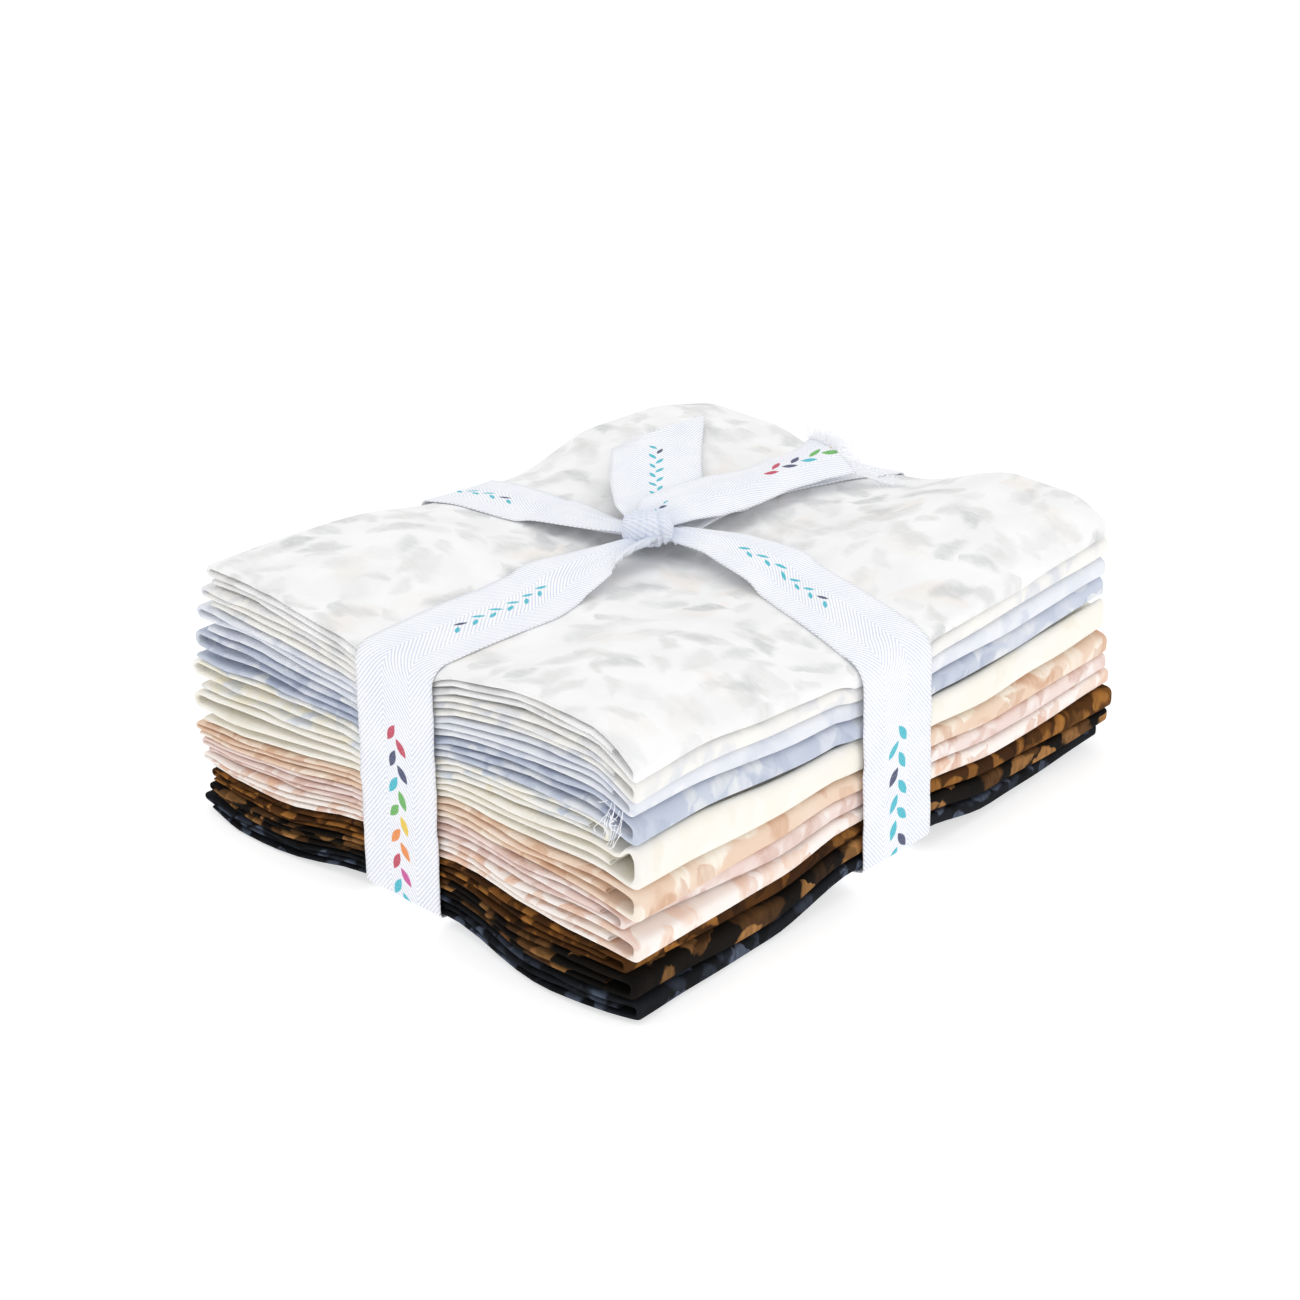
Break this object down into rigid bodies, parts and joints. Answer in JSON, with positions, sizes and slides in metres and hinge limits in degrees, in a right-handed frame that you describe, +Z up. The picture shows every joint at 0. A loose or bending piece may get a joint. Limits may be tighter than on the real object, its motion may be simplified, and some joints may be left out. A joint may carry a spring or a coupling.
{
  "type": "fat quarter bundle",
  "caption": "Stack of folded quilting-cotton fat quarters, shading from white through cream and peach to brown and charcoal, tied both ways with white twill tape knotted on top.",
  "frame": {"origin": "centre of the bounding box, on the surface that the bundle rests on", "axes": "+X along the long folded fronts, +Y towards the back, +Z up through the stack"},
  "size_m": [0.195, 0.1608, 0.0774],
  "materials": {
    "cotton_white": "matt printed cotton",
    "cotton_cream_white": "matt printed cotton",
    "cotton_lavender_white": "matt printed cotton",
    "cotton_blue_grey": "matt printed cotton",
    "cotton_cream_blue": "matt printed cotton",
    "cotton_plain_cream": "matt cotton",
    "cotton_peach": "matt printed cotton",
    "cotton_blush_pink": "matt printed cotton",
    "cotton_peach_white": "matt printed cotton",
    "cotton_golden_brown": "matt printed cotton",
    "cotton_dark_brown": "matt printed cotton",
    "cotton_charcoal": "matt printed cotton",
    "twill_tape": "herringbone twill weave"
  },
  "bodies": {
    "root": {"fat_quarter_01_white": "cotton_white", "fat_quarter_02_cream_white": "cotton_cream_white", "fat_quarter_03_lavender_white": "cotton_lavender_white", "fat_quarter_04_blue_grey": "cotton_blue_grey", "fat_quarter_05_cream_blue": "cotton_cream_blue", "fat_quarter_06_plain_cream": "cotton_plain_cream", "fat_quarter_07_peach": "cotton_peach", "fat_quarter_08_blush_pink": "cotton_blush_pink", "fat_quarter_09_peach_white": "cotton_peach_white", "fat_quarter_10_golden_brown": "cotton_golden_brown", "fat_quarter_11_dark_brown": "cotton_dark_brown", "fat_quarter_12_charcoal": "cotton_charcoal", "tie_tape": "twill_tape"}
  },
  "joints": []
}
